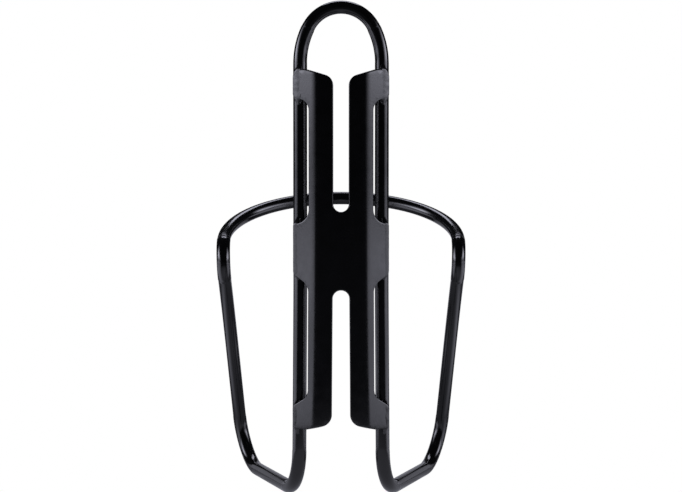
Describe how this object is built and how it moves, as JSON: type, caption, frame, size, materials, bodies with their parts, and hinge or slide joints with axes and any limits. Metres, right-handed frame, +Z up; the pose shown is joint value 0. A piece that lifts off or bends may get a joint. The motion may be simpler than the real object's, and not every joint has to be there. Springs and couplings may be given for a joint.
{
  "type": "water bottle cage",
  "caption": "Bicycle bottle cage of bent round bar: a back loop, base rods, side arms and a front hoop, welded to a pressed plate with open-ended bolt slots.",
  "frame": {"origin": "on the face of the mounting plate that lies against the bicycle frame, midway between the two bolts and on the plate's centre line", "axes": "+Z up along the bottle and the bicycle's tube, +Y from the bicycle frame towards the bottle, +X to the right when the cage is looked at from the bicycle frame's side"},
  "size_m": [0.0984, 0.1036, 0.1864],
  "materials": {
    "powder_coat": "smooth black powder coat, between satin and gloss, over aluminium alloy",
    "weld_coat": "the same black powder coat over weld metal, slightly uneven"
  },
  "bodies": {
    "root": {"mounting_plate": "powder_coat", "frame_rod": "powder_coat", "front_hoop": "powder_coat", "shoulder_weld_left": "weld_coat", "shoulder_weld_right": "weld_coat", "upper_tab_weld_left": "weld_coat", "upper_tab_weld_right": "weld_coat", "middle_tab_weld_left": "weld_coat", "middle_tab_weld_right": "weld_coat", "lower_tab_weld_left": "weld_coat", "lower_tab_weld_right": "weld_coat"}
  },
  "joints": []
}
